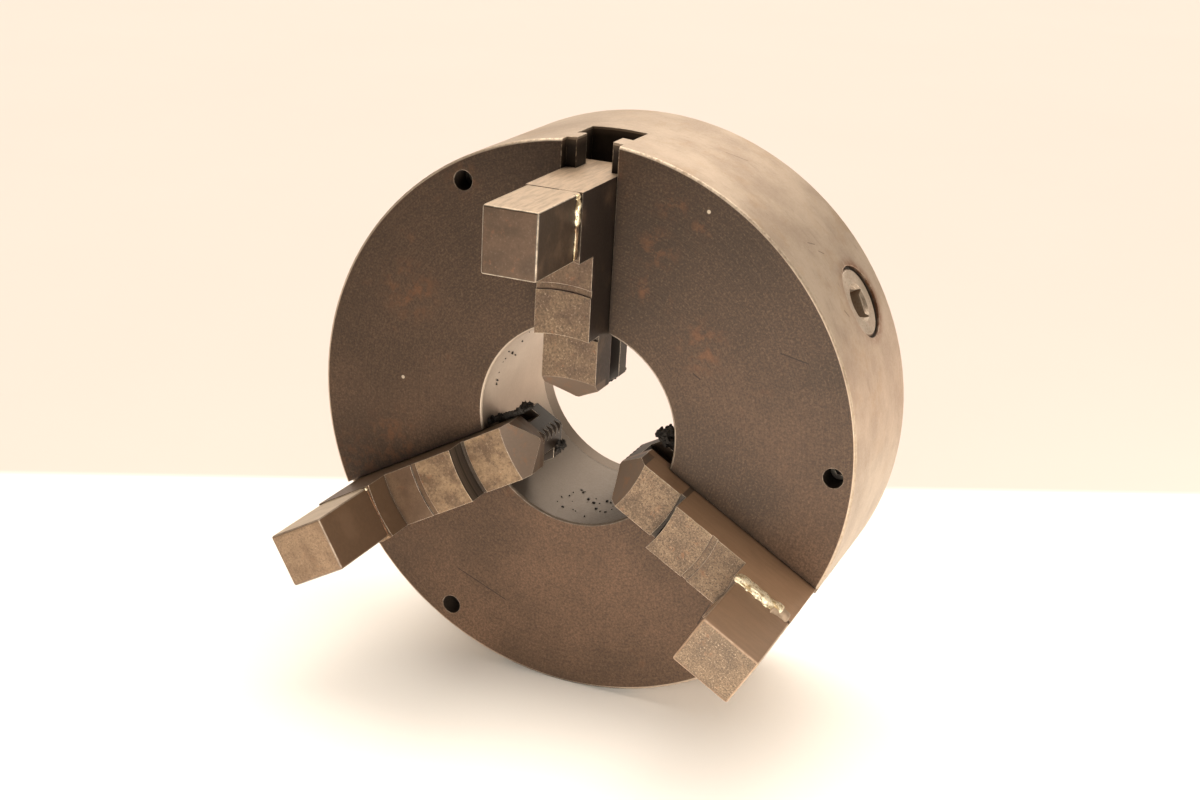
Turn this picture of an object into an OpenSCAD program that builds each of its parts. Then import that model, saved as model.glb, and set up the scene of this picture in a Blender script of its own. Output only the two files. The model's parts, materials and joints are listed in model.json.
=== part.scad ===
// Three-jaw self-centring scroll chuck, 315 mm, with extended outside jaws.
//
// Every piece is built in chuck coordinates: the spindle axis is z, z = 0 is the rear
// mounting face and z = body_t is the front face. place() then lays that axis along -Y,
// so the front face looks towards -Y and the first jaw slot points up.
// A depth is measured back from the front face; a height is measured in front of it.

/* [Body] */
// Outside diameter of the body
body_d = 315; // [313:0.5:320]
// Thickness of the body from front face to rear face
body_t = 99; // [99:0.5:104]
// Diameter of the bore through the body
bore_d = 115; // [112:0.5:116]
// Diameter of the rear recess that fits over the spindle register
register_d = 260; // [240:1:270]
// Depth of that recess
register_depth = 6; // [4:0.5:7]

/* [Jaw slots] */
// Width of a jaw
jaw_w = 31.5; // [30:0.1:32]
// Width of the web between a jaw's two side grooves
jaw_web_w = 19.8; // [18:0.1:21]
// Gap between a jaw and its slot on each side
jaw_gap = 0.35; // [0.3:0.05:0.45]

/* [Jaws] */
// Distance from the spindle axis to the tip of the first jaw at rest
nose_r = 16.5; // [16:0.1:20]
// How much further out each next jaw stands
jaw_stagger = 7.5; // [0:3.75:7.5]
// Height of the inner step in front of the face
low_step_h = 13.2; // [11:0.1:15]
// Height of the two middle steps
mid_step_h = 25.7; // [22:0.1:28]
// Height of the top step, where the extension block is welded on
top_step_h = 43; // [38:0.5:48]
// Height of the extension block's front end
extension_h = 92.6; // [80:0.1:96]
// Width of the extension block
extension_w = 30; // [27:0.1:30.5]

/* [Scroll and pinions] */
// Radial pitch of the scroll thread
scroll_pitch = 11.25; // [11:0.05:11.5]
// Radial thickness of the scroll thread
thread_w = 5.3; // [5:0.1:5.5]
// Radial thickness of a jaw tooth at its middle
jaw_tooth_w = 4.4; // [4:0.1:4.5]
// Diameter of a pinion's shank in its bore
pinion_d = 38.8; // [37:0.1:39]
// Diameter of the recess round a pinion in the rim
rim_recess_d = 41; // [39.5:0.1:42]
// Side of the square key socket
key_w = 16; // [12:0.1:16.2]

/* [Screws] */
// Radius of the circle that the front screws, stop screws and dowels stand on
screw_circle_r = 146; // [145.5:0.1:146.5]
// Radius of the circle that the rear screws stand on
rear_screw_circle_r = 144.5; // [144:0.1:145]
// Diameter of the deep counterbore of a front screw
front_counterbore_d = 11; // [10.8:0.1:12]
// Diameter of the circle of threaded mounting holes
mount_circle_d = 230; // [225:1:235]
// Tapping diameter of a mounting hole
mount_hole_d = 10.2; // [8:0.1:12]

/* [Hidden] */
$fn = 96;

// Where things stand around the axis, in degrees
function jaw_angle(k) = 90 + 120 * (k - 1);
function pinion_angle(k) = 30 + 120 * (k - 1);
front_screw_angles = [0, 120, 240];
rear_screw_angles = [60, 180, 300];
dowel_angles = [45, 225];
mount_hole_angles = [0, 60, 120, 180, 240, 300];

body_r = body_d / 2;
bore_r = bore_d / 2;
eps = 0.01;          // overlap of cutters and of joined solids
fit = 0.1;           // clearance between pieces that are fixed to each other
run = 0.05;          // radial clearance of a running fit
edge = 1;            // chamfer on the front edges of the body
rear_edge = 1.5;     // chamfer on its rear edge

// Depths behind the front face
function zd(depth) = body_t - depth;
lip_depth = 6;       // front lip of a jaw slot
tongue_depth = 19;   // back of the tongues that hold a jaw in
ceiling_depth = 29;  // back of the front wall
tooth_tip_depth = 36;
slot_floor_depth = 37;
rim_mouth_depth = 40;
hub_end_depth = 81.8;
cover_depth = 82;
flange_depth = 87;

// Radii of the cavity behind the front wall
hub_r = 72;
cavity_r = 136.5;
flange_r = 152;

// Scroll plate
plate_r = 136;
plate_front_depth = 36.5;
plate_back_depth = 46;
plate_edge_depth = 42;
thread_top_depth = 29.4;
thread_start_r = 77;
thread_turns = 5;
thread_steps = 60;   // straight stretches in one turn

// Bevel gears: both share the cone apex where the pinion axes meet the spindle axis
pinion_depth = 61;
pinion_teeth = 10;
crown_teeth = 84;
gear_r = 130;        // radius at which the tooth sizes hold
gear_in_r = 113;
gear_out_r = 131;
pitch_rp = gear_r * pinion_teeth / crown_teeth;
addendum = 2.2;
dedendum = 3.2;
tooth_space = 5.7;   // width of a tooth space at the pitch line
crown_flank = 22;    // half angle of a tooth space in the crown
pinion_flank = 32;   // half angle of a tooth space in the pinion

// Pinion shaft, as distances from the spindle axis
journal_r = 7;
neck_r = 12;
shank_start = 136.8;
pinion_face = body_r - 2;
stop_groove = [142.7, 149.3];
stop_groove_r = 15.5;
face_edge = 1.2;     // chamfer round a pinion's face
rim_recess_depth = 3.5;
socket_depth = 17.5;
socket_mouth_r = 10.8;
socket_mouth_depth = 1.8;
socket_turns = [72, 0, 0];   // a pinion may stand any whole number of teeth round
boss_in = 99;
boss_out = 111;
boss_r = 12;
bush_r = 10;

// Jaw, as distances behind its own tip
low_step_in = 14.9;
riser_groove_in = 39.5;
mid_step_in = 42.6;
mid_groove_in = 66.7;
mid_groove_out = 70.4;
top_step_in = 89.1;
jaw_len = 124.5;
riser_r = 80;        // radius of the concave risers
nose_notch_w = 2.6;
nose_notch_gap = 5;
tooth_first = 4;     // first and last jaw tooth, counted in pitches from the axis
tooth_last = 13;

// Screws and dowels: radii, and depths of their seats
dowel_r = 4;
small_screw_r = 3;
front_head_r = 5.2;
front_head_depth = 13;
front_seat_depth = 19;
rear_screw_r = 4;
rear_head_r = 6.3;
rear_head_depth = 98.4;
rear_seat_depth = 90.4;
rear_screw_tip = 66;
stop_tip_r = 3;
stop_tip_depth = pinion_depth + stop_groove_r + 0.5;
stop_shoulder_depth = pinion_depth + 21;
screw_end_depth = 97;
ring_screw_depth = 52;
ring_screw_len = 13;
ring_front_depth = 48.2;
ring_back_depth = 58;

module place() rotate([90, 0, 0]) children();
module around(angle) rotate([0, 0, angle]) children();

// A solid turned about the spindle axis from [radius, depth] points
module turned(points) rotate_extrude($fn = 180) polygon([for (p = points) [p[0], zd(p[1])]]);

// A cylinder along the spindle axis between two depths
module drum(r, d0, d1) translate([0, 0, zd(d1)]) cylinder(r = r, h = d1 - d0);

// A cylinder on the screw circle
module on_circle(angle, r, d0, d1, circle_r = screw_circle_r)
    around(angle) translate([circle_r, 0, 0]) drum(r, d0, d1);

// A cylinder along a radius at pinion depth, between two distances from the axis
module spoke(r, x0, x1)
    translate([x0, 0, zd(pinion_depth)]) rotate([0, 90, 0]) cylinder(r = r, h = x1 - x0);

// A box along a radius: from x0 to x1, w wide, between two depths
module bar(x0, x1, w, d0, d1) translate([x0, -w / 2, zd(d1)]) cube([x1 - x0, w, d1 - d0]);

// ---- Body ----

module body_turning()
    turned([
        [bore_r, hub_end_depth], [bore_r, edge], [bore_r + edge, 0],
        [body_r - edge, 0], [body_r, edge], [body_r, body_t - rear_edge], [body_r - rear_edge, body_t],
        [flange_r + 0.2, body_t], [flange_r + 0.2, flange_depth - fit],
        [cavity_r, flange_depth - fit], [cavity_r, ceiling_depth],
        [hub_r, ceiling_depth], [hub_r, hub_end_depth]
    ]);

module jaw_slot() {
    w = jaw_w + 2 * jaw_gap;
    near = bore_r - 5;
    far = body_r + 5;
    bar(near, far, w, -1, lip_depth);
    bar(near, far, jaw_web_w + 2 * jaw_gap, lip_depth - eps, tongue_depth + eps);
    bar(near, far, w, tongue_depth, slot_floor_depth);
    bar(cavity_r - 5, far, w, tongue_depth, rim_mouth_depth);
}

// Three cylinders that run out from the hub midway between the jaws, from radius x0
module ring_screw_spokes(r, x0, len) for (k = [1:3]) around(jaw_angle(k) + 60)
    translate([x0, 0, zd(ring_screw_depth)]) rotate([0, 90, 0]) cylinder(r = r, h = len);

module chuck_body() color([0.36, 0.31, 0.26]) place() difference() {
    body_turning();
    for (k = [1:3]) around(jaw_angle(k)) jaw_slot();
    for (k = [1:3]) around(pinion_angle(k)) {
        spoke(pinion_d / 2 + run, cavity_r - 5, body_r + 5);
        spoke(rim_recess_d / 2, body_r - rim_recess_depth, body_r + 5);
        translate([screw_circle_r, 0, 0]) drum(dowel_r + fit, pinion_depth, body_t);
    }
    for (a = front_screw_angles) {
        on_circle(a, front_counterbore_d / 2, -1, front_seat_depth);
        on_circle(a, small_screw_r + 0.3, front_seat_depth - 1, body_t);
    }
    for (a = rear_screw_angles)
        on_circle(a, rear_screw_r + fit, rear_screw_tip - 2, body_t, rear_screw_circle_r);
    for (a = dowel_angles) on_circle(a, dowel_r + fit, 76, body_t);
    ring_screw_spokes(small_screw_r + fit, hub_r - 2, 5);
}

// ---- Rear cover ----

module pinion_boss() {
    spoke(boss_r, boss_in, boss_out);
    bar(boss_in, boss_out, 2 * boss_r, pinion_depth, cover_depth + 1);
}

module rear_cover() color([0.42, 0.36, 0.30]) place() difference() {
    union() {
        turned([
            [bore_r + 0.5, cover_depth], [bore_r + 0.5, body_t], [flange_r, body_t],
            [flange_r, flange_depth], [cavity_r - 0.2, flange_depth], [cavity_r - 0.2, cover_depth]
        ]);
        for (k = [1:3]) around(pinion_angle(k)) pinion_boss();
    }
    drum(register_d / 2, body_t - register_depth, body_t + 1);
    for (k = [1:3]) around(pinion_angle(k)) spoke(bush_r, boss_in - 1, boss_out + 1);
    for (a = front_screw_angles) on_circle(a, small_screw_r + fit, flange_depth - 1, screw_end_depth);
    for (a = rear_screw_angles) {
        on_circle(a, rear_screw_r + 0.3, flange_depth - 1, body_t, rear_screw_circle_r);
        on_circle(a, rear_head_r + 0.3, rear_seat_depth, body_t + 1, rear_screw_circle_r);
    }
    for (k = [1:3]) on_circle(pinion_angle(k), dowel_r + fit, flange_depth - 1, body_t + 1);
    for (a = dowel_angles) on_circle(a, dowel_r + fit, flange_depth - 1, screw_end_depth + 0.2);
    for (a = mount_hole_angles)
        on_circle(a, mount_hole_d / 2, cover_depth - 1, body_t, mount_circle_d / 2);
}

// ---- Scroll plate ----

function thread_r(angle) = thread_start_r + scroll_pitch * angle / 360;
function spiral(offset) = [
    for (i = [0:thread_turns * thread_steps])
        let (a = i * 360 / thread_steps, r = thread_r(a) + offset) r * [cos(a), sin(a)]
];
function reversed(list) = [for (i = [len(list) - 1:-1:0]) list[i]];

module scroll_thread()
    translate([0, 0, zd(plate_front_depth + eps)])
        linear_extrude(plate_front_depth - thread_top_depth + eps)
            polygon(concat(spiral(thread_w / 2), reversed(spiral(-thread_w / 2))));

// Depth of a cone through the gear apex that is "above" the pinion axis by h at gear_r
function cone_depth(h, r) = pinion_depth - h * r / gear_r;

module crown_ring(h)
    turned([
        [gear_in_r, plate_edge_depth - 2], [gear_in_r, cone_depth(h, gear_in_r)],
        [gear_out_r, cone_depth(h, gear_out_r)], [gear_out_r, plate_edge_depth - 2]
    ]);

// A V-shaped tooth space whose bottom line runs through the apex, h from the pinion axis
module vee(h, half_angle, side)
    translate([0, 0, zd(pinion_depth)]) rotate([0, -atan(h / gear_r), 0])
        rotate([90, 0, 90]) translate([0, 0, gear_in_r - 8])
            linear_extrude(gear_out_r - gear_in_r + 14)
                polygon([[0, 0], [-14 * tan(half_angle), 14 * side], [14 * tan(half_angle), 14 * side]]);

module scroll_plate() color([0.45, 0.44, 0.43]) place() union() {
    turned([
        [hub_r + run, plate_front_depth], [hub_r + run, plate_back_depth],
        [gear_in_r - 1, plate_back_depth], [gear_in_r - 1, plate_edge_depth],
        [plate_r, plate_edge_depth], [plate_r, plate_front_depth]
    ]);
    scroll_thread();
    crown_ring(pitch_rp + dedendum);
    difference() {
        crown_ring(pitch_rp - addendum);
        for (i = [0:crown_teeth - 1]) around(i * 360 / crown_teeth)
            vee(pitch_rp + tooth_space / 2 / tan(crown_flank), crown_flank, -1);
    }
}

module thrust_washer() color([0.62, 0.52, 0.30]) place() difference() {
    drum(95, plate_back_depth + 0.3, ring_front_depth);
    drum(hub_r + fit, plate_back_depth, ring_front_depth + 1);
}

module retaining_ring() color([0.40, 0.40, 0.41]) place() difference() {
    drum(84, ring_front_depth, ring_back_depth);
    drum(hub_r + fit, ring_front_depth - 1, ring_back_depth + 1);
    ring_screw_spokes(small_screw_r + fit, hub_r - 2, 20);
}

module ring_screws() color([0.20, 0.20, 0.21]) place() difference() {
    ring_screw_spokes(small_screw_r, hub_r - 1.8, ring_screw_len);
    ring_screw_spokes(1.7, hub_r - 1.8 + ring_screw_len - 3, 4, $fn = 6);
}

// ---- Pinions ----

// A cone about the pinion axis through the apex, h in radius at gear_r
module pinion_cone(h)
    translate([gear_in_r, 0, zd(pinion_depth)]) rotate([0, 90, 0])
        cylinder(r1 = h * gear_in_r / gear_r, r2 = h * gear_out_r / gear_r, h = gear_out_r - gear_in_r);

module pinion_gear() {
    pinion_cone(pitch_rp - dedendum);
    difference() {
        pinion_cone(pitch_rp + addendum);
        for (i = [0:pinion_teeth - 1])
            translate([0, 0, zd(pinion_depth)]) rotate([(i + 0.5) * 360 / pinion_teeth, 0, 0])
                translate([0, 0, -zd(pinion_depth)])
                    vee(pitch_rp - tooth_space / 2 / tan(pinion_flank), pinion_flank, 1);
    }
}

// A solid turned about the pinion axis from [radius, distance from the spindle axis] points
module spoke_turned(points)
    translate([0, 0, zd(pinion_depth)]) rotate([0, 90, 0]) rotate_extrude() polygon(points);

// Shank with the groove for its stop screw and a chamfered face
module pinion_shank() {
    r = pinion_d / 2;
    spoke_turned([
        [0, shank_start], [r, shank_start], [r, stop_groove[0]], [stop_groove_r, stop_groove[0]],
        [stop_groove_r, stop_groove[1]], [r, stop_groove[1]], [r, pinion_face - face_edge],
        [r - face_edge, pinion_face], [0, pinion_face]
    ]);
}

// Square key socket in a shallow round countersink
module key_socket(turn) {
    translate([pinion_face - socket_depth, 0, zd(pinion_depth)]) rotate([turn, 0, 0])
        translate([0, -key_w / 2, -key_w / 2]) cube([socket_depth + 1, key_w, key_w]);
    spoke_turned([
        [0, pinion_face - socket_mouth_depth], [socket_mouth_r - 1, pinion_face - socket_mouth_depth],
        [socket_mouth_r, pinion_face + eps], [0, pinion_face + eps]
    ]);
}

module pinion(k) color([0.50, 0.45, 0.38]) place() around(pinion_angle(k)) difference() {
    union() {
        spoke(journal_r, boss_in - 1, gear_in_r + eps);
        pinion_gear();
        spoke(neck_r, gear_out_r - eps, shank_start + eps);
        pinion_shank();
    }
    key_socket(socket_turns[k - 1]);
}

module pinion_bush(k) color([0.66, 0.50, 0.26]) place() around(pinion_angle(k)) difference() {
    spoke(bush_r - fit / 2, boss_in, boss_out);
    spoke(journal_r + run, boss_in - 1, boss_out + 1);
}

module pinion_washer(k) color([0.60, 0.60, 0.60]) place() around(pinion_angle(k)) difference() {
    spoke(10.5, boss_out + 0.1, gear_in_r - 0.4);
    spoke(journal_r + 0.3, boss_out, gear_in_r);
}

// ---- Jaws ----

function jaw_x(k) = nose_r + jaw_stagger * (k - 1);
function tooth_r(k, n) = thread_start_r % scroll_pitch + scroll_pitch * (jaw_angle(k) / 360 + n + 0.5);

// Outline of a jaw seen along the spindle axis, with its wedge nose
module jaw_outline() polygon([
    [0.5, -1], [0.5, 1], [jaw_w / 2 * tan(30), jaw_w / 2], [jaw_len, jaw_w / 2],
    [jaw_len, -jaw_w / 2], [jaw_w / 2 * tan(30), -jaw_w / 2]
]);

// What a concave riser cuts away: all that lies inside an arc that reaches x, above height h
module riser_cut(x, h) translate([x - riser_r, 0, body_t + h]) cylinder(r = riser_r, h = 100);

// A shallow arc groove across a step, from x0 to x1, cut down from height h
module step_groove(x0, x1, h, deep) translate([0, 0, body_t + h - deep]) difference() {
    translate([x1 - riser_r, 0, 0]) cylinder(r = riser_r, h = deep + 1);
    translate([x0 - riser_r, 0, -1]) cylinder(r = riser_r, h = deep + 3);
}

module jaw_blank() difference() {
    translate([0, 0, zd(ceiling_depth)]) linear_extrude(ceiling_depth + top_step_h) jaw_outline();
    riser_cut(top_step_in, mid_step_h);
    riser_cut(mid_step_in, low_step_h);
    step_groove(riser_groove_in, mid_step_in + eps, low_step_h, 1.4);
    step_groove(mid_groove_in, mid_groove_out, mid_step_h, 0.9);
    translate([low_step_in - riser_r, 0, body_t + low_step_h - 15])
        cylinder(r1 = riser_r - 16, r2 = riser_r, h = 15 + eps);
    for (side = [-1, 1]) translate([0, side * (jaw_web_w / 2 + 10), 0])
        bar(-1, jaw_len + 1, 20, lip_depth - jaw_gap, tongue_depth + jaw_gap);
    for (i = [0:4]) translate([0.5, 0, zd(25 - nose_notch_gap * i)]) rotate([0, 45, 0])
        cube([nose_notch_w, 12, nose_notch_w], center = true);
}

module jaw_tooth(k, n) {
    r = tooth_r(k, n);
    outer_arc = 76;
    inner_arc = 136;
    intersection() {
        bar(r - 12, r + 6, jaw_w, ceiling_depth - eps, tooth_tip_depth);
        difference() {
            translate([r + jaw_tooth_w / 2 - outer_arc, 0, 0]) drum(outer_arc, 0, 50);
            translate([r - jaw_tooth_w / 2 - inner_arc, 0, 0]) drum(inner_arc, 0, 51);
        }
    }
}

module jaw(k) color([0.45, 0.38, 0.31]) place() around(jaw_angle(k)) {
    x = jaw_x(k);
    translate([x, 0, 0]) jaw_blank();
    for (n = [tooth_first:tooth_last])
        if (tooth_r(k, n) > x + 24 && tooth_r(k, n) < x + jaw_len - 4) jaw_tooth(k, n);
}

module jaw_extension(k) color([0.42, 0.37, 0.32]) place() around(jaw_angle(k)) {
    x0 = jaw_x(k) + top_step_in + 0.6;
    x1 = jaw_x(k) + jaw_len;
    bar(x0, x1, extension_w, -extension_h, -top_step_h);
}

// ---- Screws and dowels ----

// A six-sided key hole in the head of a screw, between two depths
module hex_hole(angle, r, d0, d1, circle_r = screw_circle_r)
    around(angle) translate([circle_r, 0, zd(d1)]) cylinder(r = r, h = d1 - d0, $fn = 6);

module front_screws() color([0.16, 0.15, 0.15]) place() for (a = front_screw_angles) difference() {
    union() {
        on_circle(a, front_head_r, front_head_depth, front_seat_depth);
        on_circle(a, small_screw_r, front_seat_depth - eps, screw_end_depth - 1);
    }
    hex_hole(a, 2.9, front_head_depth - 1, front_head_depth + 3);
}

module rear_screws() color([0.16, 0.15, 0.15]) place() for (a = rear_screw_angles) difference() {
    union() {
        on_circle(a, rear_head_r, rear_seat_depth, rear_head_depth, rear_screw_circle_r);
        on_circle(a, rear_screw_r, rear_screw_tip, rear_seat_depth + eps, rear_screw_circle_r);
    }
    hex_hole(a, 3.4, rear_head_depth - 4, rear_head_depth + 1, rear_screw_circle_r);
}

module pinion_screws() color([0.18, 0.17, 0.16]) place() for (k = [1:3]) difference() {
    union() {
        on_circle(pinion_angle(k), stop_tip_r, stop_tip_depth, stop_shoulder_depth + 0.5);
        on_circle(pinion_angle(k), dowel_r, stop_shoulder_depth, screw_end_depth);
    }
    hex_hole(pinion_angle(k), 2.3, screw_end_depth - 4.5, screw_end_depth + 1);
}

module cover_dowels() color([0.55, 0.55, 0.56]) place()
    for (a = dowel_angles) on_circle(a, dowel_r, 77, screw_end_depth);

chuck_body();
rear_cover();
scroll_plate();
thrust_washer();
retaining_ring();
ring_screws();
pinion(1);  // pinion_1
pinion(2);  // pinion_2
pinion(3);  // pinion_3
pinion_bush(1);  // pinion_bush_1
pinion_bush(2);  // pinion_bush_2
pinion_bush(3);  // pinion_bush_3
pinion_washer(1);  // pinion_washer_1
pinion_washer(2);  // pinion_washer_2
pinion_washer(3);  // pinion_washer_3
jaw(1);  // jaw_1
jaw(2);  // jaw_2
jaw(3);  // jaw_3
jaw_extension(1);  // jaw_extension_1
jaw_extension(2);  // jaw_extension_2
jaw_extension(3);  // jaw_extension_3
front_screws();
rear_screws();
pinion_screws();
cover_dowels();
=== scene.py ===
"""Looks of a worn three-jaw scroll chuck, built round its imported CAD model.

The chuck's front face looks towards -Y and its spindle axis is the Y axis. Lengths in the chuck's materials
and small pieces are millimetres; the camera, the lights and the table are in metres.
"""

import json
import math
import random

import bmesh
import bpy
from mathutils import Matrix, Vector, noise


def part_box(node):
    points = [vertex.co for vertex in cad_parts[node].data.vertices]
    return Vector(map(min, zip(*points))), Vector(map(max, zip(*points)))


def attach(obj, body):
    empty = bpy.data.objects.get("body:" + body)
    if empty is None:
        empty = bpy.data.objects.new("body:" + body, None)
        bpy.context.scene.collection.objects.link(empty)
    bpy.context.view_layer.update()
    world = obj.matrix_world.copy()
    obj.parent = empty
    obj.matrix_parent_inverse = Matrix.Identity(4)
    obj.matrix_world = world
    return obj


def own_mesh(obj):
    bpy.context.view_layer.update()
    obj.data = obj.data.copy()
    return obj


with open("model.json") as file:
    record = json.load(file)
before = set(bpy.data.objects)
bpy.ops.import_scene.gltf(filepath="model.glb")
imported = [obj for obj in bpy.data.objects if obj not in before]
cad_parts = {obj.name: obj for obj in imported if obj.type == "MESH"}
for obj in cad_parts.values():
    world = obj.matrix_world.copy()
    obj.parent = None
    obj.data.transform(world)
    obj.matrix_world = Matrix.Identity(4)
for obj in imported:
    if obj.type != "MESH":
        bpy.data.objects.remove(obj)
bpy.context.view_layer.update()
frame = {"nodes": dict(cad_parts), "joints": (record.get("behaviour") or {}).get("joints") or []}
nodes = frame["nodes"]
joints = {joint["name"]: joint for joint in frame["joints"]}

MM = 0.001
JAWS = (1, 2, 3)

# ---- Main sizes, worked out from the frame, in millimetres ----

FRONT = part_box("chuck_body")[0].y / MM
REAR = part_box("chuck_body")[1].y / MM
BODY_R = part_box("chuck_body")[1].x / MM
BORE_R = min(math.hypot(v.co.x, v.co.z) for v in nodes["chuck_body"].data.vertices) / MM
FLOOR_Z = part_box("chuck_body")[0].z
PINION_DEPTH = joints["pinion_1_spin"]["pos_m"][1] / MM
PINION_R = (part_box("pinion_3")[1].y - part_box("pinion_3")[0].y) / 2 / MM
JAW_HALF_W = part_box("jaw_1")[1].x / MM
BLOCK_HALF_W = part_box("jaw_extension_1")[1].x / MM
STEP_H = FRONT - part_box("jaw_extension_1")[1].y / MM


def jaw_axis(k):
    """Unit vector that points outward along jaw k."""
    return Vector(joints[f"jaw_{k}_slide"]["axis"]).normalized()


def jaw_place(k):
    """Matrix from jaw k's millimetres (out from the axis, across, height over the face) to the scene."""
    out, up = jaw_axis(k), Vector((0, -1, 0))
    turn = Matrix((out, up.cross(out), up)).transposed().to_4x4()
    return Matrix.Translation((0, FRONT * MM, 0)) @ turn @ Matrix.Scale(MM, 4)


def reach(node, k):
    """Nearest and farthest distance of a node's points from the spindle axis along jaw k, in millimetres."""
    along = [v.co.dot(jaw_axis(k)) / MM for v in nodes[node].data.vertices]
    return min(along), max(along)


# ---- Material builder ----

class Paint:
    """One procedural material, with short calls for the nodes that it is made of."""

    def __init__(self, name, **shader):
        self.material = bpy.data.materials.new(name)
        self.material.use_nodes = True
        self.tree = self.material.node_tree
        self.shader = self.tree.nodes["Principled BSDF"]
        self.coords = self.node("TexCoord")
        self.feed(self.shader, {key.replace("_", " "): value for key, value in shader.items()})

    def feed(self, node, inputs):
        for key, value in inputs.items():
            if isinstance(value, bpy.types.NodeSocket):
                self.tree.links.new(value, node.inputs[key])
            elif value is not None:
                node.inputs[key].default_value = value

    def node(self, kind, inputs=None, **settings):
        made = self.tree.nodes.new("ShaderNode" + kind)
        for key, value in settings.items():
            setattr(made, key, value)
        self.feed(made, inputs or {})
        return made

    def math(self, operation, a, b=None):
        return self.node("Math", {0: a, 1: b}, operation=operation).outputs[0]

    def vector(self, operation, a, b=None, out=0):
        return self.node("VectorMath", {0: a, 1: b}, operation=operation).outputs[out]

    def split(self, vector):
        return self.node("SeparateXYZ", {0: vector}).outputs

    def join(self, x, y, z):
        return self.node("CombineXYZ", {0: x, 1: y, 2: z}).outputs[0]

    def band(self, value, low, high, bottom=0.0, top=1.0):
        """Runs smoothly from bottom to top while value runs from low to high."""
        inputs = {"Value": value, "From Min": low, "From Max": high, "To Min": bottom, "To Max": top}
        return self.node("MapRange", inputs, interpolation_type="SMOOTHSTEP").outputs[0]

    def between(self, value, low, high, soft):
        """1 between low and high and 0 outside, with soft ends."""
        rise = self.band(value, low - soft, low + soft)
        return self.math("MULTIPLY", rise, self.band(value, high - soft, high + soft, 1.0, 0.0))

    def product(self, *factors):
        total = factors[0]
        for factor in factors[1:]:
            total = self.math("MULTIPLY", total, factor)
        return total

    def most(self, *values):
        total = values[0]
        for value in values[1:]:
            total = self.math("MAXIMUM", total, value)
        return total

    def mix(self, factor, a, b):
        a, b = (c if isinstance(c, bpy.types.NodeSocket) else (*c, 1.0) for c in (a, b))
        return self.node("Mix", {0: factor, 6: a, 7: b}, data_type="RGBA").outputs[2]

    def noise(self, where, scale, detail=3.0, rough=0.55, stretch=None):
        if stretch:
            where = self.node("Mapping", {"Vector": where, "Scale": stretch}).outputs[0]
        inputs = {"Vector": where, "Scale": scale, "Detail": detail, "Roughness": rough}
        return self.node("TexNoise", inputs).outputs["Fac"]

    def chuck_mm(self):
        """Place on the chuck in millimetres."""
        inputs = {"Vector": self.coords.outputs["Object"], "Scale": (1 / MM,) * 3}
        return self.node("Mapping", inputs).outputs[0]

    def jaw_mm(self, k):
        """Place on jaw k in millimetres: out from the axis, across, height over the face."""
        place = jaw_place(k)
        inputs = {"Vector": self.coords.outputs["Object"], "Location": place.to_translation(),
                  "Rotation": place.to_euler(), "Scale": (MM,) * 3}
        return self.node("Mapping", inputs, vector_type="TEXTURE").outputs[0]

    def dot_normal(self, direction):
        """How far the surface faces a direction, from -1 to 1."""
        return self.vector("DOT_PRODUCT", self.coords.outputs["Normal"], tuple(direction.normalized()), out=1)

    def facing(self, direction, low=0.6, high=0.85):
        """1 where the surface faces a direction."""
        return self.band(self.dot_normal(Vector(direction)), low, high)

    def edges(self, radius):
        """1 along sharp outer edges, and the normal that rounds them."""
        bevel = self.node("Bevel", {"Radius": radius * MM}, samples=6).outputs[0]
        normal = self.node("NewGeometry").outputs["Normal"]
        bend = self.vector("DOT_PRODUCT", bevel, normal, out=1)
        return self.band(self.math("SUBTRACT", 1.0, bend), 0.006, 0.09), bevel

    def openness(self, distance):
        """1 on open surfaces, falling towards 0 in corners and holes."""
        return self.node("AmbientOcclusion", {"Distance": distance * MM}, samples=6).outputs["AO"]

    def bump(self, height, strength, distance, normal=None):
        inputs = {"Height": height, "Strength": strength, "Distance": distance * MM, "Normal": normal}
        return self.node("Bump", inputs).outputs[0]

    def finish(self, color, roughness, normal, metallic=None):
        self.feed(self.shader, {"Base Color": color, "Roughness": roughness, "Normal": normal})
        if metallic is not None:
            self.feed(self.shader, {"Metallic": metallic})
        return self.material


# ---- Materials ----

FACE_DARK, FACE_LIGHT = (0.070, 0.039, 0.022), (0.122, 0.068, 0.040)
# The first colour here is the face's darker patina with painted shade: it darkens the top of the face and the
# patches beside jaws 1 and 3.
FACE_PATINA_AND_SHADE, FACE_RUST_COLOR = (0.028, 0.017, 0.010), (0.150, 0.062, 0.026)
RUST, RUST_DARK = (0.24, 0.105, 0.045), (0.085, 0.040, 0.022)
RIM_DARK, RIM_LIGHT = (0.37, 0.282, 0.211), (0.51, 0.408, 0.315)
BORE_DARK, BORE_LIGHT = (0.42, 0.340, 0.270), (0.60, 0.500, 0.405)
GRAIN_DARK, GRAIN_LIGHT, RING_LIGHT = (0.022, 0.014, 0.009), (0.25, 0.165, 0.105), (0.23, 0.165, 0.12)
DOT_PAINT = (0.50, 0.42, 0.32)
SLOT_DARK, SLOT_LIGHT, SLOT_LIP = (0.012, 0.009, 0.007), (0.055, 0.038, 0.027), (0.150, 0.108, 0.078)
# The first colour here darkens the bore's wall towards its bottom.
BORE_LOW_DARK, COVER_BORE_BROWN = (0.085, 0.067, 0.053), (0.13, 0.095, 0.068)
REAR_DARK, REAR_LIGHT = (0.13, 0.092, 0.066), (0.25, 0.19, 0.14)
STREAK, TAN = (0.20, 0.145, 0.105), (0.38, 0.25, 0.14)
HALO_RUST, SCRAPE = (0.20, 0.085, 0.040), (0.09, 0.062, 0.045)
SPECK_DARK, SPECK_LIGHT = (0.045, 0.028, 0.018), (0.50, 0.40, 0.29)
STEP_STAIN, SIDE_CLOUD = (0.070, 0.036, 0.019), (0.17, 0.105, 0.065)
NOSE_DARK, NOSE_LIGHT = (0.10, 0.070, 0.050), (0.165, 0.12, 0.09)
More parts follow.
